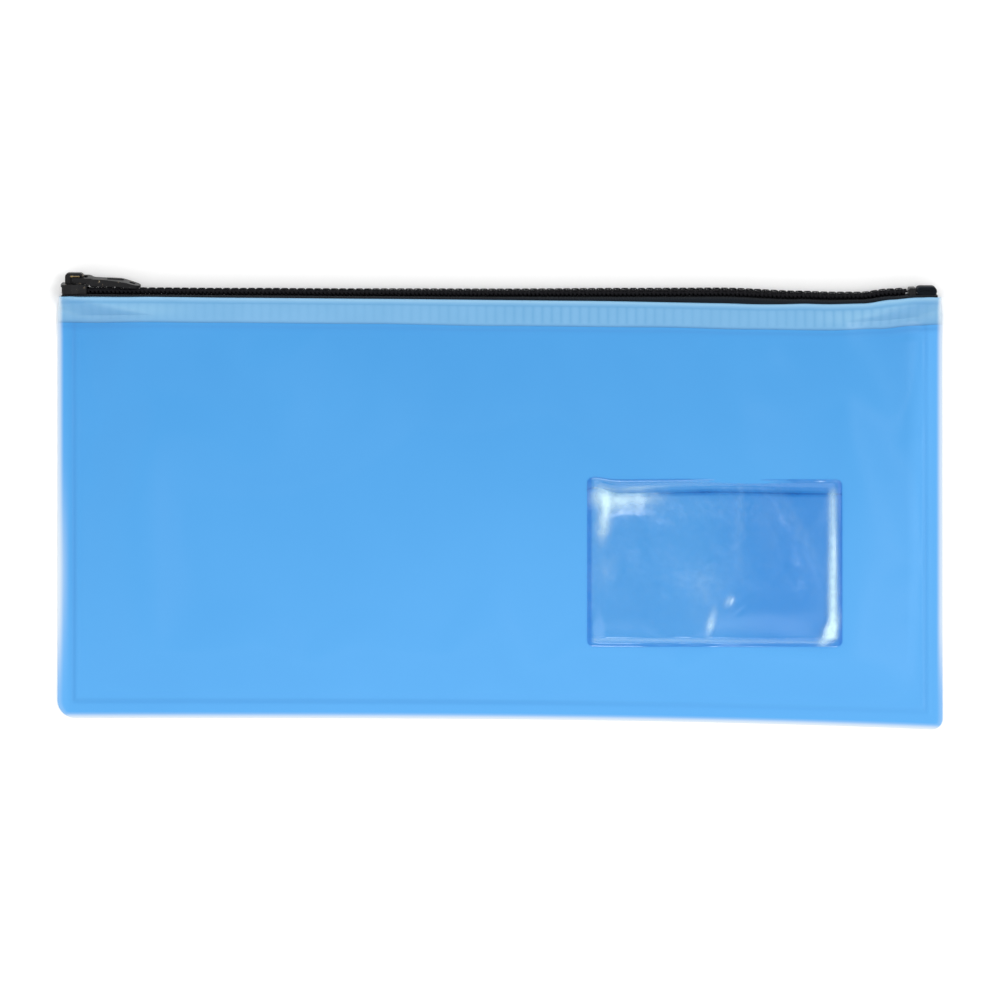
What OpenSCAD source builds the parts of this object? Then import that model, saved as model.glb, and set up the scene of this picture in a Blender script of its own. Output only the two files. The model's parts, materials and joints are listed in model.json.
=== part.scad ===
// Zipped cash deposit bag, lying closed on its back wall.
// +X runs along the zip, +Y points from the bottom seam to the zip, +Z out of the front wall.
// The origin is at the bottom centre of the whole bag. All lengths are in millimetres.

/* [Bag] */
// Width of the bag along the zip
bag_w = 340; // [300:1:400]
// Bottom edge to the middle of the zip chain
bag_h = 163; // [140:1:200]
// Thickness of the vinyl sheet
sheet_t = 0.45; // [0.35:0.05:0.6]
// Width of the welded margin at the sides and the bottom
weld_margin = 6.5; // [5:0.5:9]
// Radius of the two bottom corners
corner_r = 7; // [4:0.5:12]
// Height of the front wall over the middle of the bag
puff_h = 6.6; // [5.5:0.1:9]
// Distance over which the front wall rises from a side weld
side_rise = 33; // [20:1:33]
// Distance over which the front wall rises from the bottom weld
bottom_rise = 21; // [15:1:21]
// Distance over which the middle of the front wall rises to the zip
zip_rise = 30; // [16:1:40]
// Distance over which the welded sides part below the zip
end_rise = 12; // [10:1:16]

/* [Zip] */
// Angle by which the chain's face leans from the bag's top edge to the front
zip_tilt = 10; // [0:1:14]
// Width of the closed chain
chain_w = 6; // [5.6:0.1:6.4]
// Height of the coils above the tape
coil_h = 2.3; // [2:0.1:2.5]
// Distance from one coil turn to the next
coil_pitch = 1.6; // [1.5:0.05:1.8]
// Diameter of the coil's monofilament
filament_d = 0.62; // [0.5:0.02:0.64]
// Thickness of the woven tape
tape_t = 0.4; // [0.3:0.05:0.45]
// Thickness of the translucent weld strip
strip_t = 0.4; // [0.3:0.05:0.6]
// Height of the strip that shows between the wall and the zip
strip_h = 10; // [8:0.5:14]
// Overlap of the wall and the strip in their weld
strip_lap = 4; // [3:0.5:6]
// Travel of the slider from closed to open
slider_travel = 315; // [260:1:315]

/* [Slider] */
// Length of the slider body
slider_l = 10.4; // [10:0.1:11]
// Width of the slider body at its nose
slider_w = 9; // [8.8:0.1:9.2]
// Width of the slider body at its rear
rear_w = 7.6; // [7.4:0.1:8]
// Thickness of each slider plate
plate_t = 1; // [0.8:0.1:1.1]
// Height of the crown's top above the tape
crown_top = 8.1; // [8.1:0.1:9]
// Width of the crown
crown_w = 3; // [2.6:0.1:3]
// Length of the pull tab beyond its pivot
tab_l = 25.4; // [20:0.2:28]
// Width of the pull tab at its grip
tab_w = 6.4; // [5.6:0.1:7]
// Thickness of the pull tab
tab_t = 1.8; // [1.4:0.1:1.8]

/* [Card window] */
// Width of the clear film
window_w = 96; // [80:1:96]
// Height of the clear film
window_h = 65.5; // [50:0.5:65.5]
// Left edge of the film from the middle of the bag
window_x = 34; // [20:1:34]
// Bottom edge of the film above the bottom edge of the bag
window_up = 28; // [28:0.5:40]
// Thickness of the film
film_t = 0.25; // [0.2:0.05:0.4]
// Length of the card slit
slit_l = 91; // [60:1:92]
// Height of the open slit
slit_h = 0.9; // [0.5:0.1:1.5]
// Height of the film strip left above the slit
slit_down = 5.4; // [4:0.2:8]

/* [Hidden] */

vinyl_blue = [0.33, 0.65, 0.93];
strip_blue = [0.52, 0.73, 0.91, 0.8];
clear_film = [0.75, 0.87, 0.96, 0.45];
zip_black = [0.07, 0.08, 0.1];
metal_black = [0.14, 0.13, 0.13];
spring_brass = [0.62, 0.48, 0.25];

// running clearances of the slider
gap = 0.3;
tape_gap = 0.2;
fine = 48;
round_fn = 32;

// heights in the zip's own frame, from the tape's upper face
stitch_h = 0.3;
plate_low = tape_t + tape_gap + plate_t;
plate_floor = coil_h + stitch_h + 0.25;
plate_top = plate_floor + plate_t;
flange_floor = 0.35;
tape_edge = 0.3;

// where the zip sits in the bag
crown_reach = crown_top * cos(zip_tilt) + crown_w / 2 * sin(zip_tilt);
y_bottom = -(bag_h + crown_reach) / 2;
zip_y = y_bottom + bag_h;
back_tape_z = sheet_t + strip_t;
zip_z = back_tape_z + tape_t + gap + plate_low * sin(zip_tilt) + slider_w / 2 * cos(zip_tilt);
front_tape_z = zip_z - plate_low * sin(zip_tilt) + slider_w / 2 * cos(zip_tilt) + gap + tape_t;
front_strip_z = front_tape_z + strip_t;
band_z = front_strip_z + sheet_t;
strip_top = zip_y - 2.5;
wall_top = strip_top - strip_h;
strip_low = wall_top - strip_lap;
tape_low = zip_y - 9;

// stations along the zip
tape_end = bag_w / 2 - 1.7;
slider_x = -(bag_w / 2 - 6.2);
post_rear = slider_x - slider_l / 2 + 3.4;
coil_start = post_rear + 0.4;
stop_x = slider_x + slider_l / 2 + slider_travel + 0.8;
stop_l = 3;
coil_count = floor((stop_x - coil_start - 0.9) / coil_pitch);

// coil cross-section
spine_w = 1.25;
head_reach = 0.45;
cord_v = chain_w / 2 - spine_w / 2;
cord_r = 0.42;
cord_n = coil_h / 2;
stitch_pitch = 2 * coil_pitch;

// slider, crown, spring and tab
channel_rear = chain_w / 2 + gap;
channel_nose = channel_rear + 0.5;
post_w = 2.4;
pawl_x = 1.5;
pawl_w = 1.2;
leaf_t = 0.3;
crown_l = 7.2;
crown_t = 1;
nose_leg = 1.9;
pivot_n = 5.6;
bar_r = 0.7;
tab_droop = 1;
tab_roll = 7;
eye_gap = 0.25;
cheek_w = 1.25;
eye_l = 5;
head_t = tab_t + 0.4;
leaf_n = pivot_n + bar_r + 0.2;
leaf_hinge_x = -crown_l / 2 + nose_leg + 0.45;

// front wall grid
weld_z = 2 * sheet_t;
side_lines = [0, 0.5, 1, 1.16, 1.32, 1.5, 1.68, 1.84, 2, 2.6, 3.4];
bottom_lines = [0, 0.08, 0.22, 0.42, 0.7, 1, 1.16, 1.32, 1.5, 1.68, 1.84, 2];
zip_lines = [0, 0.16, 0.32, 0.47, 0.6, 0.68, 0.76, 0.84, 0.92, 1];

// ---------- helpers ----------

// smooth step from 0 to 1
function ease(t) = let (c = min(max(t, 0), 1)) c * c * (3 - 2 * c);

// a line number as a distance from the edge: 0 to 1 spans the weld, 1 to 2 the rise
function line_at(k, rise) = k <= 1 ? k * weld_margin : weld_margin + (k - 1) * rise;

// a point of the zip's frame as [y, z]: v across the chain to the front, n out of its face
function zip_point(v, n) = [
  zip_y + n * cos(zip_tilt) - v * sin(zip_tilt),
  zip_z + n * sin(zip_tilt) + v * cos(zip_tilt)
];

// where the level n of the zip's frame crosses the height z, as [y, z]
function level_at(n, z) = zip_point((z - zip_z - n * sin(zip_tilt)) / cos(zip_tilt), n);

// an arc of points round a centre
function arc(centre, r, from, to, steps) = [
  for (i = [0:steps])
    let (a = from + (to - from) * i / steps)
      [centre[0] + r * cos(a), centre[1] + r * sin(a)]
];

// extrudes a [y, z] outline along X
module along_x(from, to)
  translate([from, 0, 0])
    rotate([90, 0, 90])
      linear_extrude(to - from) children();

// puts children in the zip's frame: X along it, Y across it to the back wall, Z out of its face
module in_zip()
  translate([0, zip_y, zip_z])
    rotate([zip_tilt - 90, 0, 0]) children();

// a slab of the zip's frame from level low to level high
module slab(low, high)
  translate([0, 0, low])
    linear_extrude(high - low) children();

// a lengthwise [x, n] outline with a width across the zip
module across(width)
  translate([0, width / 2, 0])
    rotate([90, 0, 0])
      linear_extrude(width) children();

// ---------- walls ----------

// outline of the walls, with round bottom corners
module wall_outline() {
  half = bag_w / 2;
  low = y_bottom + corner_r;
  polygon(concat(
    [[half, wall_top], [-half, wall_top]],
    arc([-half + corner_r, low], corner_r, 180, 270, 12),
    arc([half - corner_r, low], corner_r, 270, 360, 12)
  ));
}

module back_panel() {
  color(vinyl_blue)
    linear_extrude(sheet_t) wall_outline();
}

// half the bag's width at a height up the wall, narrower in the round corners
function half_width(up) =
  up >= corner_r ? bag_w / 2 : bag_w / 2 - corner_r + sqrt(pow(corner_r, 2) - pow(corner_r - up, 2));

// height of the front wall's outer face
function wall_z(x, y) =
  let (
    side = ease((bag_w / 2 - abs(x) - weld_margin) / side_rise),
    foot = ease((y - y_bottom - weld_margin) / bottom_rise),
    rise = end_rise + (zip_rise - end_rise) * side,
    top = ease((y - strip_low + rise) / rise),
    pillow = weld_z + (puff_h - weld_z) * side * foot
  )
    pillow + (band_z - pillow) * top;

module front_panel() {
  left = [for (k = side_lines) -bag_w / 2 + line_at(k, side_rise)];
  columns = concat(left, [0], [for (i = [len(left) - 1:-1:0]) -left[i]]);
  rows = concat(
    [for (k = bottom_lines) y_bottom + line_at(k, bottom_rise)],
    [for (k = zip_lines) strip_low - zip_rise * (1 - k)],
    [wall_top]
  );
  nx = len(columns);
  ny = len(rows);
  outer = [
    for (y = rows, x = columns)
      let (px = x * half_width(y - y_bottom) / (bag_w / 2))
        [px, y, wall_z(px, y)]
  ];
  points = concat(outer, [for (p = outer) [p[0], p[1], p[2] - sheet_t]]);
  under = nx * ny;
  rim = concat(
    [for (i = [0:nx - 2]) i],
    [for (j = [0:ny - 2]) j * nx + nx - 1],
    [for (i = [nx - 1:-1:1]) (ny - 1) * nx + i],
    [for (j = [ny - 1:-1:1]) j * nx]
  );
  cells = [for (j = [0:ny - 2], i = [0:nx - 2]) j * nx + i];
  faces = concat(
    [for (c = cells) [c, c + nx, c + 1]],
    [for (c = cells) [c + 1, c + nx, c + nx + 1]],
    [for (c = cells) [under + c, under + c + 1, under + c + nx]],
    [for (c = cells) [under + c + 1, under + c + nx + 1, under + c + nx]],
    [for (i = [0:len(rim) - 1]) [rim[i], rim[(i + 1) % len(rim)], under + rim[i]]],
    [for (i = [0:len(rim) - 1])
      [rim[(i + 1) % len(rim)], under + rim[(i + 1) % len(rim)], under + rim[i]]]
  );
  color(vinyl_blue)
    polyhedron(points, faces);
}

// rectangle with round corners, from its lower left corner
module round_plate(w, h, r)
  polygon(concat(
    arc([r, r], r, 180, 270, 6),
    arc([w - r, r], r, 270, 360, 6),
    arc([w - r, h - r], r, 0, 90, 6),
    arc([r, h - r], r, 90, 180, 6)
  ));

// clear film with a raised weld bead round it and the slit that takes the card
module window_film() {
  bead_w = 1.6;
  bead_h = 0.15;
  color(clear_film)
    translate([window_x, y_bottom + window_up, puff_h])
      difference() {
        union() {
          linear_extrude(film_t) round_plate(window_w, window_h, 2.4);
          linear_extrude(film_t + bead_h)
            difference() {
              round_plate(window_w, window_h, 2.4);
              translate([bead_w, bead_w])
                round_plate(window_w - 2 * bead_w, window_h - 2 * bead_w, 1.2);
            }
        }
        translate([(window_w - slit_l) / 2, window_h - slit_down - slit_h, -1])
          cube([slit_l, slit_h, 3]);
      }
}

// ---------- zip tapes and weld strips ----------

module back_weld_strip() {
  color(strip_blue)
    along_x(-bag_w / 2, bag_w / 2)
      translate([strip_low, sheet_t])
        square([strip_top + 1.6 - strip_low, strip_t]);
}

module front_weld_strip() {
  color(strip_blue)
    along_x(-bag_w / 2, bag_w / 2)
      translate([strip_low, front_tape_z])
        square([strip_top - strip_low, strip_t]);
}

// One tape: a web under the coil that turns down the inside of the wall.
// Its inner corner is cut back where the slider's post holds the two tapes apart.
module tape(side, outer_z, inner_z) {
  color(zip_black)
    difference() {
      along_x(-tape_end, tape_end)
        polygon([
          zip_point(side * tape_edge, 0),
          level_at(0, outer_z),
          [tape_low, outer_z],
          [tape_low, inner_z],
          level_at(-tape_t, inner_z),
          zip_point(side * tape_edge, -tape_t)
        ]);
      in_zip()
        translate([-bag_w / 2, -post_w / 2 - gap, -1])
          cube([bag_w / 2 + post_rear + gap, post_w + 2 * gap, 2]);
    }
}

module back_tape()
  tape(-1, back_tape_z, back_tape_z + tape_t);

module front_tape()
  tape(1, front_tape_z, front_tape_z - tape_t);

// ---------- coils ----------

// One coil as a comb: the outer bends run together in a spine, and each turn's head reaches past the middle.
// side is 1 for the front half and -1 for the back half; shift moves the turns along the zip.
module coil(side, shift) {
  outer = chain_w / 2;
  inner = outer - spine_w;
  first = coil_start + filament_d / 2 + shift;
  comb = concat(
    [[coil_start, outer], [coil_start, inner]],
    [for (i = [0:coil_count - 1])
      let (x = first + i * coil_pitch)
        each [
          [x - filament_d / 2 + 0.01, inner],
          [x - filament_d / 2 + 0.01, -head_reach],
          [x + filament_d / 2, -head_reach],
          [x + filament_d / 2, inner]
        ]],
    [[stop_x - 0.1, inner], [stop_x - 0.1, outer]]
  );
  color(zip_black)
    in_zip()
      difference() {
        slab(0, coil_h)
          scale([1, -side]) polygon(comb);
        translate([coil_start - 1, -side * cord_v, cord_n])
          rotate([0, 90, 0])
            cylinder(r = cord_r + 0.08, h = stop_x - coil_start + 2, $fn = fine);
      }
}

module back_coil()
  coil(-1, 0);

module front_coil()
  coil(1, coil_pitch / 2);

// filler cord that runs inside a coil
module core_cord(side)
  color(zip_black)
    in_zip()
      translate([coil_start, -side * cord_v, cord_n])
        rotate([0, 90, 0])
          cylinder(r = cord_r, h = stop_x - 0.1 - coil_start, $fn = fine);

module back_core_cord()
  core_cord(-1);

module front_core_cord()
  core_cord(1);

// sewing thread on top of a coil: wide over each stitch, narrow where it dips
module stitching(side) {
  count = floor((stop_x - 0.6 - coil_start) / stitch_pitch);
  start = coil_start + 0.3;
  edge = [
    for (i = [0:count - 1])
      let (x = start + i * stitch_pitch)
        each [[x, 0.14], [x + 0.4, 0.27], [x + stitch_pitch - 0.5, 0.27]]
  ];
  back_edge = [for (i = [len(edge) - 1:-1:0]) [edge[i][0], -edge[i][1]]];
  color(zip_black)
    in_zip()
      translate([0, -side * cord_v])
        slab(coil_h, coil_h + stitch_h)
          polygon(concat(edge, back_edge));
}

module back_stitching()
  stitching(-1);

module front_stitching()
  stitching(1);

// ---------- stops ----------

// small clip on one tape that stops the slider at the closed end
module top_stop(side) {
  wide = 1.3;
  long = 2.2;
  high = 2.2;
  color(metal_black)
    in_zip()
      translate([post_rear - long - 0.1, -side * (chain_w / 2 - 0.05 - wide / 2) + wide / 2, 0])
        rotate([90, 0, 0])
          linear_extrude(wide)
            polygon(concat(
              [[0, 0], [long, 0]],
              arc([long - 0.6, high - 0.6], 0.6, 0, 90, 5),
              arc([0.6, high - 0.6], 0.6, 90, 180, 5)
            ));
}

module back_top_stop()
  top_stop(-1);

module front_top_stop()
  top_stop(1);

// clip across both tapes at the open end
module bottom_stop() {
  wide = chain_w + 0.6;
  high = coil_h + 0.45;
  r = 0.8;
  color(metal_black)
    in_zip()
      translate([stop_x, 0, 0])
        rotate([90, 0, 90])
          linear_extrude(stop_l)
            polygon(concat(
              [[-wide / 2, 0]],
              [[wide / 2, 0]],
              arc([wide / 2 - r, high - r], r, 0, 90, 6),
              arc([-wide / 2 + r, high - r], r, 90, 180, 6)
            ));
}

// ---------- slider ----------

// puts children at the slider, in the zip's frame
module at_slider()
  in_zip() translate([slider_x, 0, 0]) children();

// plan of a slider plate: a wide nose at -X that narrows to the rear
module plate_outline() {
  half = slider_l / 2;
  nose_r = 2;
  rear_r = 1.4;
  polygon(concat(
    arc([-half + nose_r, slider_w / 2 - nose_r], nose_r, 90, 180, 8),
    arc([-half + nose_r, -slider_w / 2 + nose_r], nose_r, 180, 270, 8),
    [[-1, -slider_w / 2], [1.6, -rear_w / 2]],
    arc([half - rear_r, -rear_w / 2 + rear_r], rear_r, 270, 360, 6),
    arc([half - rear_r, rear_w / 2 - rear_r], rear_r, 0, 90, 6),
    [[1.6, rear_w / 2], [-1, slider_w / 2]]
  ));
}

// plan of the space that the coils run in, wider at the nose
module channel_outline() {
  half = slider_l / 2 + 1;
  polygon([
    [-half, -channel_nose], [-2.4, -channel_nose], [0.6, -channel_rear], [half, -channel_rear],
    [half, channel_rear], [0.6, channel_rear], [-2.4, channel_nose], [-half, channel_nose]
  ]);
}

module slider_body() {
  half = slider_l / 2;
  color(metal_black)
    at_slider() {
      slab(-plate_low, -plate_low + plate_t) plate_outline();
      slab(-plate_low, plate_top)
        polygon([
          [-half + 0.4, -post_w / 2 + 0.5], [-half + 1, -post_w / 2], [-half + 1.8, -post_w / 2],
          [-half + 3.4, 0],
          [-half + 1.8, post_w / 2], [-half + 1, post_w / 2], [-half + 0.4, post_w / 2 - 0.5]
        ]);
      difference() {
        slab(flange_floor, plate_top) plate_outline();
        slab(flange_floor - 1, plate_floor) channel_outline();
        translate([pawl_x - 0.45, -pawl_w / 2 - gap, plate_floor - 1])
          cube([leaf_t + 1.1, pawl_w + 2 * gap, plate_t + 2]);
      }
    }
}

// arched bridge that holds the pull tab and the spring
module slider_crown() {
  half = crown_l / 2;
  color(metal_black)
    at_slider()
      across(crown_w)
        polygon(concat(
          [[half, plate_top]],
          arc([half - 1.5, crown_top - 1.5], 1.5, 0, 90, 8),
          arc([-half + 1.5, crown_top - 1.5], 1.5, 90, 180, 8),
          [[-half, plate_top], [-half + nose_leg, plate_top]],
          arc([-half + nose_leg + 0.6, crown_top - crown_t - 0.6], 0.6, 180, 90, 5),
          arc([half - crown_t - 0.6, crown_top - crown_t - 0.6], 0.6, 90, 0, 5),
          [[half - crown_t, plate_top]]
        ));
}

// leaf spring: a curled end at the crown's nose leg, a leaf over the tab's bar and a pawl into the plate
module lock_spring() {
  tip_n = coil_h + stitch_h + 0.3;
  color(spring_brass)
    at_slider() {
      across(pawl_w)
        polygon([
          [leaf_hinge_x, leaf_n],
          [pawl_x, leaf_n],
          [pawl_x, tip_n],
          [pawl_x + leaf_t, tip_n],
          [pawl_x + leaf_t, leaf_n + leaf_t],
          [leaf_hinge_x, leaf_n + leaf_t]
        ]);
      translate([leaf_hinge_x, pawl_w / 2, leaf_n + leaf_t / 2])
        rotate([90, 0, 0]) cylinder(r = 0.3, h = pawl_w, $fn = fine);
    }
}

// half the width of the pull tab's head
function head_half() = crown_w / 2 + eye_gap + cheek_w;

// plan of the tab's head, round the crown
module head_outline() {
  head = head_half();
  polygon(concat(
    arc([0, -head + 0.9], 0.9, 180, 270, 5),
    [[eye_l + 0.6, -head], [eye_l + 1.6, -head + 0.6], [eye_l + 1.6, head - 0.6], [eye_l + 0.6, head]],
    arc([0, head - 0.9], 0.9, 90, 180, 5)
  ));
}

// plan of the pull tab from its pivot: a head, a waist and a round grip
module tab_outline() {
  head = head_half();
  grip = tab_w / 2;
  polygon(concat(
    arc([0, -head + 0.9], 0.9, 180, 270, 5),
    [[eye_l + 0.6, -head], [eye_l + 3, -2.1], [eye_l + 6, -2.1], [tab_l - grip - 4, -grip]],
    arc([tab_l - grip, 0], grip, 270, 450, 20),
    [[tab_l - grip - 4, grip], [eye_l + 6, 2.1], [eye_l + 3, 2.1], [eye_l + 0.6, head]],
    arc([0, head - 0.9], 0.9, 90, 180, 5)
  ));
}

module pull_tab() {
  inner = crown_w / 2 + eye_gap;
  grip = tab_w / 2;
  color(metal_black)
    at_slider()
      translate([0, 0, pivot_n])
        rotate([tab_roll, tab_droop, 0]) {
          difference() {
            union() {
              slab(-tab_t / 2, tab_t / 2) tab_outline();
              slab(-head_t / 2, head_t / 2) head_outline();
            }
            translate([-2, -inner, -2]) cube([2 + eye_l, 2 * inner, 4]);
            translate([tab_l - grip, 0, -2]) cylinder(r = 1.2, h = 4, $fn = fine);
            slab(tab_t / 2 - 0.3, tab_t)
              polygon([
                [eye_l + 7.5, -1.1], [tab_l - grip - 3.4, -1.9],
                [tab_l - grip - 3.4, 1.9], [eye_l + 7.5, 1.1]
              ]);
          }
          translate([0, inner + 0.3, 0])
            rotate([90, 0, 0]) cylinder(r = bar_r, h = 2 * inner + 0.6, $fn = fine);
        }
}

back_panel();
back_weld_strip();
back_tape();
back_coil();
back_core_cord();
back_stitching();
back_top_stop();
bottom_stop();
front_panel();
window_film();
front_weld_strip();
front_tape();
front_coil();
front_core_cord();
front_stitching();
front_top_stop();
slider_body();
slider_crown();
lock_spring();
pull_tab();
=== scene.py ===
"""Looks of the zipped cash deposit bag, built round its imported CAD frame. All lengths are in metres."""
import json
import math

import bmesh
import bpy
import numpy as np
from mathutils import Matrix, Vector


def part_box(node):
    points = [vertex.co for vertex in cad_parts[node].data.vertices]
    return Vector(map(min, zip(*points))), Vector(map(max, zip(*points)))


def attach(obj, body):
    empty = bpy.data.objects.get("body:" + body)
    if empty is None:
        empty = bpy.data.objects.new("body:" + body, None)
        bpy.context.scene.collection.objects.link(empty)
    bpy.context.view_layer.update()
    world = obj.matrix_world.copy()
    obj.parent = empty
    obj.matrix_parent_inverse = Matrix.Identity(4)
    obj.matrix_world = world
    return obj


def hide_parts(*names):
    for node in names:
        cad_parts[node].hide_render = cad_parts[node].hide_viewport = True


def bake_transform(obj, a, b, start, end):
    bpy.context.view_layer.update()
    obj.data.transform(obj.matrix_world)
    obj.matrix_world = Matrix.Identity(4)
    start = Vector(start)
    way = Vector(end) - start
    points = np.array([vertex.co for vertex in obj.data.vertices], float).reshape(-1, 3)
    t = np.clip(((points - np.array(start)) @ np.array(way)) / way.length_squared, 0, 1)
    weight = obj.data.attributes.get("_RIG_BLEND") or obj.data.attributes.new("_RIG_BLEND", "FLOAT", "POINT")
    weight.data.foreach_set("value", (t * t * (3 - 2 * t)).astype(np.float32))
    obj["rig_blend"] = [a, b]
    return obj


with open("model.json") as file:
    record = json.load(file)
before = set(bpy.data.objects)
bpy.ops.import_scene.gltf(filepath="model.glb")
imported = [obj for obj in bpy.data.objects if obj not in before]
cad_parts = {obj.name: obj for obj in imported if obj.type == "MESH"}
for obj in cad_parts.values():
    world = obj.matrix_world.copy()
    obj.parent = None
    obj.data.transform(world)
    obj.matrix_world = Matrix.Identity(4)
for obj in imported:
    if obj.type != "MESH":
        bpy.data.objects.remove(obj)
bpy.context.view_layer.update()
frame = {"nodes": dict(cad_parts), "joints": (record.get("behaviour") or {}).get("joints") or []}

mm = 0.001
rng = np.random.default_rng(7)


# ---------- where things are, from the frame ----------

def middle(node):
    low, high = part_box(node)
    return (low + high) / 2


joint = {j["name"]: j for j in frame["joints"]}
tab_axis = joint["tab_flip"]["axis"]
TILT = math.atan2(-tab_axis[1], tab_axis[2])
OUT = Vector((0, math.cos(TILT), math.sin(TILT)))
TAB_AT = Vector(joint["tab_flip"]["pos_m"])

# thickness of the parts, half the chain's width, and the walls' weld margin and corners
coil_h = 2.3 * mm
chain_half = 3.0 * mm
sheet_t = 0.45 * mm
strip_t = 0.4 * mm
tape_t = 0.4 * mm
margin = 6.5 * mm
corner_left = 7 * mm
corner_right = 4.2 * mm

wall_low, wall_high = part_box("front_panel")
film_low, film_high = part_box("window_film")
coil_low, coil_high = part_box("front_coil")
tape_low, tape_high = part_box("front_tape")
stop_low, stop_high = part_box("bottom_stop")
clip_low, clip_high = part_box("back_top_stop")
back_strip_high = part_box("back_weld_strip")[1]

zip_mid = (middle("front_core_cord") + middle("back_core_cord")) / 2 - OUT * coil_h / 2
ZIP_Y = zip_mid.y
ZIP_Z = zip_mid.z
HALF_W = wall_high.x
BOTTOM = wall_low.y
WALL_TOP = wall_high.y
BAND_Z = wall_high.z
PUFF = film_low.z
STRIP_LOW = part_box("front_weld_strip")[0].y
SLIDER_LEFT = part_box("slider_body")[0].x
SLIDER_X = middle("slider_body").x
POST_END = SLIDER_LEFT + 3.7 * mm
PATTERN_FOLD = ZIP_Y - 1.25 * mm

# how far the front takes to rise from its sides, foot and zip, and its steep rise at the closed ends
SIDE_RUN = 33 * mm
FOOT_RUN = 21 * mm
ZIP_RUN = 34 * mm
FUNNEL = 8 * mm

# the zip's two halves, and the side of the chain each is on
HALVES = (("front", 1), ("back", -1))


# ---------- the way this bag lies: its shifts from a true rectangle ----------

# each is a list of stations, as (place, shift) in millimetres

# lean of the chain past the frame's tilt, in degrees, along the zip
LEAN = [
    (-170, 0), (-157, 0), (-135, -3.5), (-75, -1.5), (0, 2),
    (50, 6), (100, 7), (120, 3.5), (142, 0), (170, 0),
]
# chain, along the zip
CHAIN_SHIFT = [
    (-170, 0), (-156, 0), (-140, -0.3), (-100, -0.55), (-50, -0.8), (0, -0.95), (50, -0.8),
    (85, -0.7), (115, -1.8), (128, -2.15), (139, -2.1), (150, -0.85), (160, -0.3), (170, -0.3),
]
# upper edge of the front wall, along the zip
TOP_SHIFT = [
    (-170, 1.5), (-150, 1.3), (-110, 0.95), (-50, 0.5), (0, -0.3), (60, -0.8),
    (95, -1.6), (127, -2.0), (145, -1.2), (160, 0.3), (170, 0.7),
]
# how far the strip's upper edge stays below the fold of the tape, along the zip
BARE_FOLD = [
    (-170, 0.15), (-20, 0.2), (30, 0.5), (92, 1.4),
    (118, 0.7), (140, 0.65), (162, 0.15), (170, 0.15),
]
# both sides outwards, from the bottom to the zip
FLARE = [(-90, 1.2), (-60, 1.1), (68, 1.05), (77, 0.5), (84, 0.1)]


# ---------- small tools ----------

def ease(t):
    """A smooth rise from 0 to 1 while t goes from 0 to 1."""
    t = np.clip(t, 0.0, 1.0)
    return t * t * (3 - 2 * t)


def bump(x, at, width):
    """A smooth rise to 1 at a place, and back."""
    return np.exp(-(((x - at) / width) ** 2))


def follow(at, stations):
    """A smooth line through stations, at a place in metres, as a length in metres."""
    places = np.array([s[0] for s in stations], float) * mm
    values = np.array([s[1] for s in stations], float) * mm
    at = np.asarray(at, float)
    k = np.clip(np.searchsorted(places, at) - 1, 0, len(places) - 2)
    t = ease((at - places[k]) / (places[k + 1] - places[k]))
    return values[k] + (values[k + 1] - values[k]) * t


def smooth_noise(x, y, size, seed):
    """Soft noise between -1 and 1 with features of the given size."""
    lattice = np.random.default_rng(seed).uniform(-1, 1, (64, 64))
    u = np.asarray(x, float) / size + 31.3
    v = np.asarray(y, float) / size + 17.7
    i = np.floor(u).astype(int)
    j = np.floor(v).astype(int)
    fu = ease(u - i)
    fv = ease(v - j)
    low = lattice[j % 64, i % 64] * (1 - fu) + lattice[j % 64, (i + 1) % 64] * fu
    high = lattice[(j + 1) % 64, i % 64] * (1 - fu) + lattice[(j + 1) % 64, (i + 1) % 64] * fu
    return low * (1 - fv) + high * fv


def spline_shares(t):
    """The shares of four neighbours in a smooth line, t of the way from the second to the third."""
    return (1 - t) ** 3 / 6, (3 * t**3 - 6 * t**2 + 4) / 6, (3 * t + 3 * t**2 - 3 * t**3 + 1) / 6, t**3 / 6


def between(columns, rows, table, x, y):
    """A smooth surface through a table over columns and rows, at any places."""
    u = np.interp(x, columns, np.arange(len(columns)))
    v = np.interp(y, rows, np.arange(len(rows)))
    i = np.clip(u.astype(int), 0, len(columns) - 2)
    j = np.clip(v.astype(int), 0, len(rows) - 2)
    padded = np.pad(table, 1, "edge")
    total = 0
    for down, share_v in enumerate(spline_shares(v - j)):
        for along, share_u in enumerate(spline_shares(u - i)):
            total = total + share_u * share_v * padded[j + down, i + along]
    return total


# ---------- meshes ----------

def piece(name, verts, faces, material, sharp=35):
    """A new object, smooth but at edges over an angle in degrees."""
    mesh = bpy.data.meshes.new(name)
    mesh.from_pydata(np.asarray(verts, float).tolist(), [], [tuple(map(int, f)) for f in faces])
    tidy = bmesh.new()
    tidy.from_mesh(mesh)
    bmesh.ops.recalc_face_normals(tidy, faces=tidy.faces)
    tidy.to_mesh(mesh)
    tidy.free()
    mesh.polygons.foreach_set("use_smooth", [True] * len(mesh.polygons))
    mesh.set_sharp_from_angle(angle=math.radians(sharp))
    mesh.materials.append(material)
    obj = bpy.data.objects.new(name, mesh)
    bpy.context.scene.collection.objects.link(obj)
    return obj


def paint(obj, name, values):
    """A value at each vertex that the piece's material reads."""
    layer = obj.data.attributes.new(name, "FLOAT", "POINT")
    layer.data.foreach_set("value", np.clip(values, 0, 1).astype(np.float32).ravel())


def grid_faces(nx, ny):
    """Faces of a grid of vertices, counted along its rows."""
    i, j = np.meshgrid(np.arange(nx - 1), np.arange(ny - 1))
    c = (j * nx + i).ravel()
    return np.stack([c, c + 1, c + 1 + nx, c + nx], 1)


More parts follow.
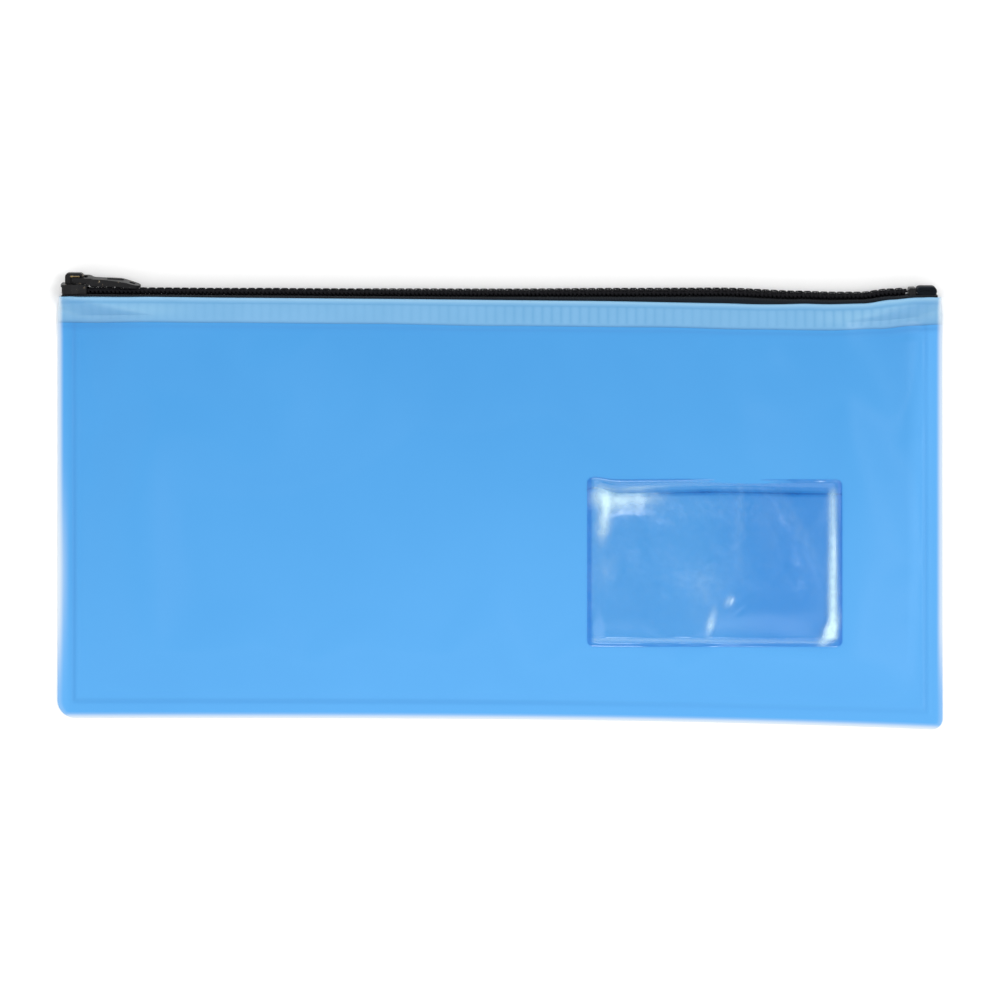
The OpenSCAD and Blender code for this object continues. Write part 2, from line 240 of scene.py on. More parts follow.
def shell_parts(x, y, upper, lower):
    """Vertices and faces of a closed sheet between two heights over a grid of places."""
    ny, nx = x.shape
    verts = [np.stack([x, y, z + 0 * x], -1).reshape(-1, 3) for z in (upper, lower)]
    top = grid_faces(nx, ny)
    under = top[:, ::-1] + nx * ny
    rim = np.concatenate([
        np.arange(nx - 1),
        np.arange(ny - 1) * nx + nx - 1,
        (ny - 1) * nx + np.arange(nx - 1, 0, -1),
        np.arange(ny - 1, 0, -1) * nx,
    ])
    after = np.roll(rim, -1)
    side = np.stack([rim, rim + nx * ny, after + nx * ny, after], 1)
    return np.concatenate(verts), [tuple(f) for f in np.concatenate([top, under, side])]


def both_faces(values):
    """The same values for a sheet's upper and lower vertices."""
    return np.concatenate([np.ravel(values)] * 2)


def loft(sections):
    """Vertices and faces of a closed solid through sections, as [section, point round it, xyz]."""
    n, m = sections.shape[:2]
    i, j = np.meshgrid(np.arange(m), np.arange(n - 1))
    a = (j * m + i).ravel()
    b = (j * m + (i + 1) % m).ravel()
    faces = [tuple(f) for f in np.stack([a, b, b + m, a + m], 1)]
    faces.append(tuple(range(m - 1, -1, -1)))
    faces.append(tuple(range((n - 1) * m, n * m)))
    return sections.reshape(-1, 3), faces


def tube(path, radius, sides, reference):
    """Vertices and faces of a round tube along a path."""
    path = np.asarray(path, float)
    tangent = np.gradient(path, axis=0)
    tangent /= np.linalg.norm(tangent, axis=1)[:, None]
    side = np.cross(tangent, reference)
    side /= np.linalg.norm(side, axis=1)[:, None]
    up = np.cross(side, tangent)
    turn = np.arange(sides) / sides * 2 * math.pi
    ring = np.cos(turn)[None, :, None] * side[:, None] + np.sin(turn)[None, :, None] * up[:, None]
    size = np.broadcast_to(np.asarray(radius, float), (len(path),))[:, None, None]
    return loft(path[:, None] + ring * size)


def join(parts):
    verts = []
    faces = []
    base = 0
    for v, f in parts:
        verts.append(v)
        faces += [tuple(k + base for k in face) for face in f]
        base += len(v)
    return np.concatenate(verts), faces


# ---------- materials ----------

# white of the painted glare on the sheets' thin edges
EDGE_GLARE_WHITE = (0.70, 0.74, 0.76)


class Shader:
    """Adds and links the nodes of one material."""

    def __init__(self, name):
        self.material = bpy.data.materials.new(name)
        self.material.use_nodes = True
        self.tree = self.material.node_tree
        self.tree.nodes.clear()

    def node(self, kind, inputs, **settings):
        made = self.tree.nodes.new(kind)
        for key, value in settings.items():
            setattr(made, key, value)
        for key, value in inputs.items():
            if isinstance(value, bpy.types.NodeSocket):
                self.tree.links.new(value, made.inputs[key])
            elif isinstance(value, tuple) and len(made.inputs[key].default_value) == 4:
                made.inputs[key].default_value = (*value, 1.0)
            else:
                made.inputs[key].default_value = value
        return made

    def spot(self):
        return self.node("ShaderNodeTexCoord", {}).outputs["Object"]

    def noise(self, scale, detail=2.0, rough=0.5):
        inputs = {"Vector": self.spot(), "Scale": scale, "Detail": detail, "Roughness": rough}
        return self.node("ShaderNodeTexNoise", inputs).outputs["Fac"]

    def across_and_up(self):
        split = self.node("ShaderNodeSeparateXYZ", {0: self.spot()})
        return split.outputs["X"], split.outputs["Y"]

    def bands(self, scale, distortion):
        inputs = {"Vector": self.spot(), "Scale": scale, "Distortion": distortion}
        return self.node("ShaderNodeTexWave", inputs, bands_direction="DIAGONAL").outputs["Fac"]

    def fit(self, value, low, high, to_low=0.0, to_high=1.0):
        inputs = {"Value": value, "From Min": low, "From Max": high, "To Min": to_low, "To Max": to_high}
        return self.node("ShaderNodeMapRange", inputs).outputs[0]

    def maths(self, what, a, b=0.0):
        return self.node("ShaderNodeMath", {0: a, 1: b}, operation=what).outputs[0]

    def mix(self, share, a, b):
        return self.node("ShaderNodeMix", {0: share, 6: a, 7: b}, data_type="RGBA").outputs[2]

    def read(self, name):
        return self.node("ShaderNodeAttribute", {}, attribute_name=name).outputs["Fac"]

    def relief(self, height, strength, distance):
        inputs = {"Height": height, "Strength": strength, "Distance": distance}
        return self.node("ShaderNodeBump", inputs).outputs[0]

    def principled(self, **inputs):
        named = {key.replace("_", " "): value for key, value in inputs.items()}
        return self.finish(self.node("ShaderNodeBsdfPrincipled", named).outputs[0])

    def finish(self, surface):
        output = self.node("ShaderNodeOutputMaterial", {})
        self.tree.links.new(surface, output.inputs["Surface"])
        return self.material


def vinyl_material():
    """Soft grainy vinyl with random mottle; lighter towards the bottom and the right as painted light, with a
    painted highlight along its side margins, painted shade along its weld lines, and its thin edge whitened
    as a painted glare.
    """
    s = Shader("vinyl")
    mottle = s.noise(22.0, 3.0, 0.55)
    cloud = s.noise(6.0, 1.0)
    pebble = s.noise(1100.0, 2.0, 0.55)
    x, y = s.across_and_up()
    # painted light: the base colour runs lighter towards the bottom and the right, as a lamp nearer that
    # corner would light it, with random mottle on top
    painted_light_and_mottle = s.maths("ADD", s.fit(y, 0.075, -0.085), s.fit(x, -0.17, 0.17, -0.12, 0.08))
    painted_light_and_mottle = s.maths("ADD", painted_light_and_mottle, s.fit(cloud, 0.35, 0.65, -0.08, 0.08))
    painted_light_and_mottle = s.maths("ADD", painted_light_and_mottle, s.fit(mottle, 0.3, 0.7, -0.05, 0.05))
    # painted highlight: lighter bands along the side margins, strongest at the right edge
    painted_edge_sheen = s.maths("ADD", s.fit(x, 0.157, 0.166, 0.0, 0.85), s.fit(x, -0.166, -0.170, 0.0, 0.4))
    painted_light_and_mottle = s.maths("ADD", painted_light_and_mottle, painted_edge_sheen)
    # the darker and lighter blues are the shaded and lit ends of the same vinyl
    base = s.mix(painted_light_and_mottle, (0.052, 0.286, 0.636), (0.088, 0.358, 0.748))
    # painted shade along the weld lines and under the upper edge
    base = s.mix(s.read("weld_shade"), base, (0.052, 0.250, 0.580))
    # painted glare: the thin edge is whitened
    base = s.mix(s.read("rim"), base, EDGE_GLARE_WHITE)
    return s.principled(
        Base_Color=base,
        Roughness=s.fit(pebble, 0.3, 0.7, 0.40, 0.50),
        IOR=1.5,
        Specular_IOR_Level=0.24,
        Normal=s.relief(pebble, 0.2, 0.00006),
    )


def strip_material():
    """Milky vinyl strip, with a painted highlight along its rolled edge and on its steep ends, painted shade
    in its weld line and dashes, and its ends whitened as a painted glare.
    """
    s = Shader("frosted_strip")
    cloud = s.noise(55.0, 3.0, 0.6)
    fine = s.noise(1500.0, 2.0, 0.6)
    base = s.mix(s.fit(cloud, 0.3, 0.7), (0.150, 0.370, 0.612), (0.168, 0.392, 0.640))
    # painted highlight along the rolled lip and on the steep ends
    base = s.mix(s.read("pale"), base, (0.27, 0.50, 0.68))
    # painted shade in the rib dashes, the weld line and under the wall's edge
    base = s.mix(s.read("weld_shade"), base, (0.085, 0.290, 0.530))
    # painted glare: the strip's ends are whitened
    base = s.mix(s.read("rim"), base, EDGE_GLARE_WHITE)
    return s.principled(
        Base_Color=base,
        Roughness=s.fit(fine, 0.3, 0.7, 0.32, 0.42),
        IOR=1.5,
        Specular_IOR_Level=0.4,
        Normal=s.relief(fine, 0.12, 0.00004),
    )


def film_material():
    """Clear soft film: it lets light straight through, mirrors at a slant, and is milky where worn and where
    glare is painted.
    """
    s = Shader("clear_film")
    scuff = s.noise(420.0, 3.0, 0.65)
    ripple = s.noise(150.0, 2.0, 0.5)
    tint = s.mix(s.read("tint"), (0.962, 0.992, 0.996), (0.72, 0.85, 0.95))
    # painted shadow: the film is drawn darker along the slit
    tint = s.mix(s.read("cut"), tint, (0.64, 0.85, 0.935))
    slant = s.node("ShaderNodeLayerWeight", {"Blend": 0.5}).outputs["Facing"]
    share = s.fit(s.maths("POWER", slant, 5.0), 0.0, 1.0, 0.04, 0.9)
    clear = s.node("ShaderNodeBsdfTransparent", {"Color": tint}).outputs[0]
    gloss = s.node("ShaderNodeBsdfAnisotropic", {
        "Color": (0.95, 0.98, 1.0),
        "Roughness": s.fit(scuff, 0.35, 0.75, 0.13, 0.25),
        "Normal": s.relief(ripple, 0.2, 0.0003),
    }).outputs[0]
    film = s.node("ShaderNodeMixShader", {0: share, 1: clear, 2: gloss}).outputs[0]
    # a milky white shader for worn film and for painted glare
    milky_scuff_and_glare = s.node("ShaderNodeBsdfDiffuse", {"Color": (0.62, 0.86, 0.97)}).outputs[0]
    haze = s.maths("MULTIPLY", s.read("haze"), s.fit(scuff, 0.3, 0.6, 0.78, 1.0))
    return s.finish(s.node("ShaderNodeMixShader", {0: haze, 1: film, 2: milky_scuff_and_glare}).outputs[0])


def tape_material():
    """Black polyester tape with its fine twill."""
    s = Shader("zip_tape")
    twill = s.bands(620.0, 0.6)
    fuzz = s.noise(2400.0, 3.0, 0.7)
    height = s.maths("ADD", twill, s.maths("MULTIPLY", fuzz, 0.5))
    return s.principled(
        Base_Color=s.mix(s.fit(height, 0.3, 1.3), (0.003, 0.005, 0.008), (0.009, 0.014, 0.021)),
        Roughness=s.fit(fuzz, 0.2, 0.8, 0.75, 0.9),
        Specular_IOR_Level=0.12,
        Sheen_Weight=0.04,
        Normal=s.relief(height, 0.5, 0.00012),
    )


def nylon_material():
    """Black nylon monofilament."""
    s = Shader("coil")
    haze = s.noise(900.0, 2.0, 0.6)
    return s.principled(
        Base_Color=s.mix(haze, (0.003, 0.003, 0.004), (0.006, 0.006, 0.008)),
        Roughness=s.fit(haze, 0.3, 0.7, 0.45, 0.6),
        IOR=1.5,
        Specular_IOR_Level=0.09,
        Normal=s.relief(haze, 0.1, 0.00003),
    )


def thread_material():
    """Black twisted sewing thread."""
    s = Shader("thread")
    ply = s.bands(900.0, 0.3)
    return s.principled(
        Base_Color=s.mix(ply, (0.002, 0.002, 0.003), (0.010, 0.010, 0.013)),
        Roughness=s.fit(ply, 0.0, 1.0, 0.8, 0.65),
        Specular_IOR_Level=0.12,
        Normal=s.relief(ply, 0.5, 0.00008),
    )


def lacquer_material(name, worn, wear):
    """Black lacquer over a die-casting, rubbed through in small specks."""
    s = Shader(name)
    patches = s.noise(650.0, 4.0, 0.65)
    cloud = s.noise(260.0, 2.0)
    rub = s.maths("MULTIPLY", s.fit(patches, 0.60, 0.68), s.fit(cloud, 0.5, 0.6, 0.0, wear))
    base = s.mix(cloud, (0.005, 0.005, 0.006), (0.010, 0.010, 0.011))
    return s.principled(
        Base_Color=s.mix(rub, base, worn),
        Metallic=s.maths("MULTIPLY", rub, 0.85),
        Roughness=s.fit(patches, 0.3, 0.7, 0.3, 0.44),
        Specular_IOR_Level=0.16,
        Normal=s.relief(patches, 0.12, 0.00005),
    )


def brass_material():
    """Plain spring brass with light tarnish."""
    s = Shader("spring_brass")
    tarnish = s.noise(800.0, 3.0, 0.6)
    return s.principled(
        Base_Color=s.mix(tarnish, (0.5, 0.36, 0.15), (0.3, 0.2, 0.085)),
        Metallic=1.0,
        Roughness=s.fit(tarnish, 0.3, 0.7, 0.25, 0.42),
        Normal=s.relief(tarnish, 0.1, 0.00003),
    )


def paper_material():
    """Plain pale studio paper."""
    s = Shader("studio_paper")
    tooth = s.noise(400.0, 2.0)
    return s.principled(
        Base_Color=s.mix(tooth, (0.96, 0.96, 0.96), (0.98, 0.98, 0.98)),
        Roughness=0.9,
        Specular_IOR_Level=0.1,
    )


vinyl = vinyl_material()
frosted = strip_material()
clear_film = film_material()
tape_cloth = tape_material()
nylon = nylon_material()
thread = thread_material()
lacquer = lacquer_material("slider_metal", (0.50, 0.40, 0.28), 0.8)
stop_lacquer = lacquer_material("stop_metal", (0.40, 0.38, 0.35), 0.04)
brass = brass_material()


# ---------- shape of the bag ----------

def chain_at(x):
    """The chain's middle and its lean, at places along the zip."""
    lean = TILT + np.radians(follow(x, LEAN) / mm)
    return ZIP_Y + follow(x, CHAIN_SHIFT), lean


def chain_point(x, v, n):
    """A point of the chain: v across it to the front, n out of its face."""
    y0, lean = chain_at(x)
    y = y0 + n * np.cos(lean) - v * np.sin(lean)
    z = ZIP_Z + n * np.sin(lean) + v * np.cos(lean)
    return np.stack(np.broadcast_arrays(x, y, z), -1)


def fold_line(x):
    """Where the front tape turns down from the chain, as y."""
    y0, lean = chain_at(x)
    return y0 - tape_t * np.cos(lean) - 4.85 * mm * np.sin(lean)


def plan(x, y):
    """Where a point of the true rectangle lies on this bag."""
    up = np.clip((y - BOTTOM) / (WALL_TOP - BOTTOM), 0, 1)
    over = np.clip((y - WALL_TOP) / (PATTERN_FOLD - WALL_TOP), 0, 1)
    foot = -0.85 * mm - 4.6 * mm * ((x + HALF_W) / (2 * HALF_W)) ** 3.3
    shift = foot * (1 - up) + follow(x, TOP_SHIFT) * up
    shift = shift * (1 - over) + (fold_line(x) - PATTERN_FOLD) * over
    flare = np.sign(x) * ease((np.abs(x) - 100 * mm) / (70 * mm)) * follow(y, FLARE)
    return x + flare, y + shift


def half_width(x, y):
    """Half of the rectangle's width, narrower in its round bottom corners."""
    r = np.where(x > 0, corner_right, corner_left)
    up = np.clip(y - BOTTOM, 0, r)
    return HALF_W - r + np.sqrt(r * r - (r - up) ** 2)


def edge_distance(x, y):
    """How far inside the sides and the bottom a point is."""
    r = np.where(x > 0, corner_right, corner_left)
    across = np.abs(x) - (HALF_W - r)
    down = BOTTOM + r - y
    corner = r - np.hypot(np.maximum(across, 0), np.maximum(down, 0))
    return np.where((across > 0) & (down > 0), corner, np.minimum(HALF_W - np.abs(x), y - BOTTOM))


def front_height(x, y):
    """The front's outer face over the rectangle while nothing sags: welded at the sides, open at the zip."""
    below = PATTERN_FOLD - y
    strips = ease((y - STRIP_LOW + 2 * mm) / (4 * mm))
    tapes = ease((y - tape_low.y + 2 * mm) / (3 * mm)) * ease((tape_high.x + 1 * mm - np.abs(x)) / (1 * mm))
    weld = 2 * sheet_t + 2 * strip_t * strips + 2 * tape_t * tapes
    lift = np.maximum(0, FUNNEL - below) * SIDE_RUN / FUNNEL
    apart = ease((HALF_W - np.abs(x) - margin + lift) / SIDE_RUN)
    end = np.clip((np.abs(x) - (HALF_W - 2.4 * mm)) / (2.4 * mm), 0, 1)
    apart = apart * np.sqrt(1 - end * end)
    foot = ease((y - BOTTOM - margin) / FOOT_RUN)
    crest = PUFF + (BAND_Z - PUFF) * ease(1 - (below - 8 * mm) / ZIP_RUN)
    return weld + (crest - weld) * apart * foot


def wall_rows():
    """Rows up a wall: close together in the corners and at the upper edge."""
    low = BOTTOM + corner_left * (1 - np.cos(np.linspace(0, math.pi / 2, 12)))
    inner = np.arange(low[-1] + 0.9 * mm, WALL_TOP - 2.5 * mm, 1.3 * mm)
    upper = np.linspace(WALL_TOP - 2.4 * mm, WALL_TOP, 7)
    return np.concatenate([low, inner, upper])


def wall_columns():
    """Columns across a wall: close together at the side edges and welds."""
    edge = np.linspace(-HALF_W, -HALF_W + 1.2 * mm, 5)
    weld = np.linspace(-HALF_W + 1.2 * mm, -HALF_W + 9 * mm, 20)[1:]
    side = np.concatenate([edge, weld])
    inner = np.linspace(side[-1], -side[-1], 240)[1:-1]
    return np.concatenate([side, inner, -side[::-1]])


rows = wall_rows()
columns = wall_columns()
grid_x, grid_y = np.meshgrid(columns, rows)
grid_x = grid_x * half_width(grid_x, grid_y) / HALF_W
inside = edge_distance(grid_x, grid_y)


def settle(height):
    """Lets the front sheet sag and pucker between its welds, and adds the change to its height."""
    step = 3.2 * mm
    xs = np.linspace(-HALF_W, HALF_W, int(2 * HALF_W / step))
    ys = np.linspace(BOTTOM, WALL_TOP, int((WALL_TOP - BOTTOM) / step))
    gx, gy = np.meshgrid(xs, ys)
    gz = front_height(gx, gy)
    start = gz + 0.08 * mm * smooth_noise(gx, gy, 9 * mm, seed=3)
    scale_up = 10
    verts = np.stack([gx, gy, start], -1).reshape(-1, 3) * scale_up
    sheet = piece("settling_sheet", verts, grid_faces(len(xs), len(ys)), vinyl)
    held = (HALF_W - np.abs(gx) < margin + 1 * mm) | (gy - BOTTOM < margin + 1 * mm) | (gy > STRIP_LOW)
    pins = sheet.vertex_groups.new(name="pins")
    pins.add(np.flatnonzero(held).tolist(), 1.0, "REPLACE")
    cloth = sheet.modifiers.new("settle", "CLOTH")
    rules = cloth.settings
    rules.vertex_group_mass = "pins"
    rules.quality = 6
    rules.mass = 0.35
    rules.tension_stiffness = 40
    rules.compression_stiffness = 40
    rules.shear_stiffness = 20
    rules.bending_stiffness = 8
    rules.shrink_min = -0.004
    rules.shrink_max = -0.004
    rules.use_pressure = True
    rules.uniform_pressure_force = 0.4
    rules.effector_weights.gravity = 0.3
    cloth.collision_settings.use_collision = False
    frames = 24
    cloth.point_cache.frame_start = 1
    cloth.point_cache.frame_end = frames
    scene = bpy.context.scene
    for number in range(1, frames + 1):
        scene.frame_set(number)
    done = sheet.evaluated_get(bpy.context.evaluated_depsgraph_get()).to_mesh()
    after = np.zeros(len(done.vertices) * 3, np.float32)
    done.vertices.foreach_get("co", after)
    scene.frame_set(1)
    bpy.data.objects.remove(sheet)
    change = after.reshape(len(ys), len(xs), 3)[..., 2] / scale_up - gz
    change = np.clip(change, -2.5 * mm, 2.5 * mm)
    return height + between(xs, ys, change, grid_x, grid_y)


def finished_front():
    """The front wall's outer face with its weld lines, hem and slight waves."""
    z = front_height(grid_x, grid_y)
    z = settle(z)
    at_weld = inside - margin
    groove = bump(at_weld, 0, 0.55 * mm)
    bead = bump(at_weld, 1.3 * mm, 0.7 * mm) + 0.6 * bump(at_weld, -1.2 * mm, 0.7 * mm)
    below_top = ease((WALL_TOP - grid_y) / (8 * mm))
    z = z + (0.16 * bead - 0.2 * groove) * mm * below_top
    z = z + 0.1 * mm * smooth_noise(grid_x, grid_y, 24 * mm, seed=5) * ease(at_weld / (12 * mm))
    z = z - 0.08 * mm * bump(WALL_TOP - grid_y, 1.9 * mm, 0.5 * mm)
    return np.maximum(z, 2 * sheet_t - 0.12 * mm)


front_z = finished_front()


def bow_open(obj):
    """The front bows away from the back between the two ends of the zip, as far as front_wall turns."""
    reach = 138 * mm
    shares = []
    for side in (-1, 1):
        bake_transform(obj, "root", "front_wall", start=(side * reach, 0, 0), end=(0, 0, 0))
        share = np.zeros(len(obj.data.vertices), np.float32)
        obj.data.attributes["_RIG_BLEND"].data.foreach_get("value", share)
        shares.append(share)
    obj.data.attributes["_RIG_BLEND"].data.foreach_set("value", np.minimum(*shares))


def declare(obj, node=None, front=False):
    """Says what a piece rides on and what it replaces."""
    if front:
        bow_open(obj)
    else:
        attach(obj, "root")
    if node:
        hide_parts(node)


# ---------- walls ----------

def painted_edge_glare(x, y):
    """How strongly the thin edge is whitened as a painted glare: widest at the left middle, hardly any low at
    the sides, and along the foot.
    """
    from_side = half_width(x, y) - np.abs(x)
    fade = 0.25 + 0.75 * ease((y + 78 * mm) / (34 * mm))
    side = 0.72 * fade * (1 - ease((from_side - 0.3 * mm) / (2.2 * mm)))
    foot = 0.85 * (1 - ease((y - BOTTOM) / (2.3 * mm)))
    wide = 0.5 * (x < 0) * bump(y, -29 * mm, 28 * mm) * (1 - ease(from_side / (5.2 * mm)))
    return np.maximum(side, foot) + (1 - side) * wide


def make_front_wall():
    """The front wall, with painted shade along its weld line, fading to the right, and under its upper edge.
    """
    x, y = plan(grid_x, grid_y)
    round_off = 0.12 * mm * (1 - ease(inside / (0.5 * mm)))
    obj = piece("front_wall_sheet", *shell_parts(x, y, front_z - round_off, front_z - sheet_t), vinyl)
    depth = 0.5 - 0.3 * ease((grid_x + 20 * mm) / (120 * mm))
    # painted shade along the weld line, fading to the right, and in the line under the upper edge
    weld_shade = depth * bump(inside, margin, 0.8 * mm) + 0.5 * bump(WALL_TOP - grid_y, 1.4 * mm, 0.8 * mm)
    # painted glare on the thin edge
    paint(obj, "rim", both_faces(painted_edge_glare(grid_x, grid_y)))
    paint(obj, "weld_shade", both_faces(weld_shade))
    declare(obj, "front_panel", front=True)


def make_back_wall():
    """The back wall, flat on the ground, with its weld line grooved in from below and darkened with painted
    shade.
    """
    x, y = plan(grid_x, grid_y)
    round_off = 0.12 * mm * (1 - ease(inside / (0.5 * mm)))
    groove = 0.12 * mm * bump(inside, margin, 0.6 * mm)
    obj = piece("back_wall_sheet", *shell_parts(x, y, sheet_t, round_off + groove), vinyl)
    # painted glare on the thin edge
    paint(obj, "rim", both_faces(painted_edge_glare(grid_x, grid_y)))
    # painted shade along the back's weld line
    paint(obj, "weld_shade", both_faces(0.6 * bump(inside, margin, 0.8 * mm)))
    declare(obj, "back_panel")


# ---------- card window ----------

WINDOW_LEFT = film_low.x - 0.4 * mm
WINDOW_RIGHT = film_high.x + 1.9 * mm
WINDOW_LOW = film_low.y - 1.2 * mm
WINDOW_HIGH = film_high.y - 2.1 * mm
SLIT_Y = WINDOW_HIGH - 5.7 * mm
LAP = 0.3 * mm
BEAD = 1.3 * mm
FILM_T = 0.2 * mm
FILM_CORNER = 2.4 * mm


def from_sides(x, y):
    """How far inside each of the window's four edges a point is."""
    return x - WINDOW_LEFT, WINDOW_RIGHT - x, y - WINDOW_LOW, WINDOW_HIGH - y


def ridge(x, y, at, angle, length, breadth):
    """A soft crease through a point given as shares of the window's width and height."""
    cx = WINDOW_LEFT + at[0] * (WINDOW_RIGHT - WINDOW_LEFT)
    cy = WINDOW_LOW + at[1] * (WINDOW_HIGH - WINDOW_LOW)
    a = math.radians(angle)
    along = (x - cx) * math.cos(a) + (y - cy) * math.sin(a)
    across = -(x - cx) * math.sin(a) + (y - cy) * math.cos(a)
    return np.exp(-((along / (length * mm)) ** 2) - (across / (breadth * mm)) ** 2)


# creases of the film: height in millimetres, place, angle, length, breadth
CREASES = [
    (0.34, (0.56, 0.27), 62, 2.6, 0.8),
    (0.42, (0.49, 0.13), 74, 4.6, 0.9),
    (0.16, (0.61, 0.22), 40, 3.0, 0.9),
    (0.13, (0.80, 0.72), -62, 15, 2.2),
    (0.12, (0.88, 0.55), -70, 14, 2.0),
    (0.12, (0.60, 0.70), 85, 13, 2.2),
    (0.10, (0.12, 0.45), 70, 8, 1.8),
]
# worn patches of the film, and patches of painted glare among them: strength, place, angle, length, breadth
SCUFFS_AND_GLARES = [
    (0.46, (0.072, 0.865), 10, 4.2, 3.0),
    (0.52, (0.16, 0.868), 0, 9.8, 3.2),
    (0.62, (0.066, 0.755), 84, 6.6, 2.2),
    (0.16, (0.19, 0.945), 3, 10, 0.8),
    (0.05, (0.07, 0.46), 60, 6, 4),
    (0.03, (0.45, 0.42), 60, 6, 6),
    (0.05, (0.83, 0.70), -60, 16, 2.6),
    (0.02, (0.72, 0.72), -80, 12, 4),
    (0.04, (0.60, 0.70), 88, 15, 2.2),
    (0.20, (0.56, 0.27), 62, 2.4, 1.6),
    (0.40, (0.487, 0.145), 76, 4.0, 1.3),
    (0.04, (0.47, 0.30), 70, 9, 6),
    (0.80, (0.948, 0.085), 62, 5.2, 1.8),
]


def lifted_lip(x, y):
    """The film's corner under the left end of the slit slopes up to the lip."""
    wander = 0.5 * smooth_noise(x, y, 5 * mm, seed=61) * mm
    foot = SLIT_Y - 9 * mm + wander - 3 * mm * bump(x, WINDOW_LEFT + 5 * mm, 5 * mm)
    above = np.minimum(y, SLIT_Y) - foot
    soft = np.where(above > 3 * mm, above - 1.5 * mm, np.maximum(above, 0) ** 2 / (6 * mm))
    near_end = ease((x - WINDOW_LEFT - 2.4 * mm) / (1.6 * mm))
    far_end = ease((WINDOW_LEFT + 29 * mm - x + wander) / (7 * mm))
    return 0.105 * soft * near_end * far_end


def film_relief(x, y, flap):
    """Height of the film's face over the wall. The flap is the stretch above the slit."""
    d_left, d_right, d_low, d_high = from_sides(x, y)
    edge = np.minimum(np.minimum(d_left, d_right), np.minimum(d_low, d_high))
    weld = 0.12 * mm * bump(edge, BEAD * 0.45, BEAD * 0.45) - 0.12 * mm * bump(edge, BEAD, 0.4 * mm)
    widen = bump(d_low, 2 * mm, 10 * mm)
    run = 2.2 * mm + 4.2 * mm * widen
    ramp = np.clip((d_right - BEAD - 0.7 * mm) / run, 0, 1)
    crown = 0.27 * run * ramp * (0.75 + 0.25 * bump(d_right, 3 * mm + run, 12 * mm))
    rise = ease((d_left - BEAD) / (6.5 * mm))
    rise = rise * ease((d_low - BEAD) / (2.2 * mm)) * ease((d_high - BEAD) / (2 * mm))
    swell = 0.35 * ease(1 - (SLIT_Y - y) / (14 * mm)) * ease((d_right - 8 * mm) / (20 * mm))
    for height, at, angle, length, breadth in CREASES:
        swell = swell + height * ridge(x, y, at, angle, length, breadth)
    swell = swell + 0.1 * smooth_noise(x, y, 11 * mm, seed=21) + 0.04 * smooth_noise(x, y, 5 * mm, seed=22)
    lifted = rise * np.maximum(crown + swell * mm * ramp + lifted_lip(x, y), 0)
    if flap:
        lifted = 0.5 * lifted + 0.42 * mm * rise * ramp
    return 0.06 * mm + np.maximum(weld, 0) + lifted


def slit_shift(x):
    """The slit's slight wave, with a curl up at its left end."""
    arch = 0.75 * mm * bump(x, WINDOW_LEFT + 50 * mm, 24 * mm)
    return arch + 2.4 * mm * bump(x, WINDOW_LEFT + 3 * mm, 5 * mm)


def slit_shade(x, y):
    """Painted shadow along the slit: how dark the lapped lips of the slit are drawn."""
    near = 1 - ease((np.abs(y - SLIT_Y) - 0.7 * mm) / (0.9 * mm))
    ends = ease((x - WINDOW_LEFT - 4 * mm) / (4 * mm)) * ease((WINDOW_RIGHT - 1 * mm - x) / (3 * mm))
    darker = bump(x, WINDOW_LEFT + 44 * mm, 5 * mm) + bump(x, WINDOW_LEFT + 79 * mm, 7 * mm)
    return near * ends * (0.62 + 0.38 * darker)


def edge_tint(x, y):
    """Deeper blue of the film at its weld, and a little towards the right."""
    d_left, d_right, d_low, d_high = from_sides(x, y)
    left = 0.75 * (1 - ease((d_left - 1.4 * mm) / (1.0 * mm)))
    right = 1.0 * (1 - ease((d_right - 1.2 * mm) / (0.8 * mm)))
    low = 0.6 * (1 - ease((d_low - 0.8 * mm) / (0.7 * mm)))
    high = 0.45 * (1 - ease((d_high - 0.6 * mm) / (0.7 * mm)))
    deep = 0.12 + 0.3 * ease((x - WINDOW_LEFT - 40 * mm) / (35 * mm))
    return np.maximum(np.maximum(np.maximum(left, right), np.maximum(low, high)), deep)


def film_scuffs_and_glare(x, y):
    """Milky wear of the film, with painted glare in some patches, along its lower weld bead and in the bright
    streak down its right side.
    """
    haze = 0 * x
    for strength, at, angle, length, breadth in SCUFFS_AND_GLARES:
        patch = ridge(x, y, at, angle, length, breadth)
        haze = haze + strength * patch * (0.85 + 0.4 * smooth_noise(x, y, 2.6 * mm, seed=51))
    # painted highlight along the lower weld bead
    long_bead = ease((x - WINDOW_LEFT - 1.5 * mm) / (1.5 * mm)) * ease((WINDOW_RIGHT - 6 * mm - x) / (3 * mm))
    haze = haze + 0.1 * bump(y - WINDOW_LOW, 2.9 * mm - 0.012 * (x - WINDOW_LEFT), 0.5 * mm) * long_bead
    down = ease((SLIT_Y + 2 * mm - y) / (50 * mm))
    # painted highlight: a bright streak down the right side
    painted_streak = bump(WINDOW_RIGHT - x, 3.6 * mm, 1.5 * mm) * ease((SLIT_Y + 4 * mm - y) / (6 * mm))
    haze = haze + (0.36 + 0.4 * down) * painted_streak * ease((y - WINDOW_LOW - 2 * mm) / (2 * mm))
    return np.minimum(haze, 0.95)


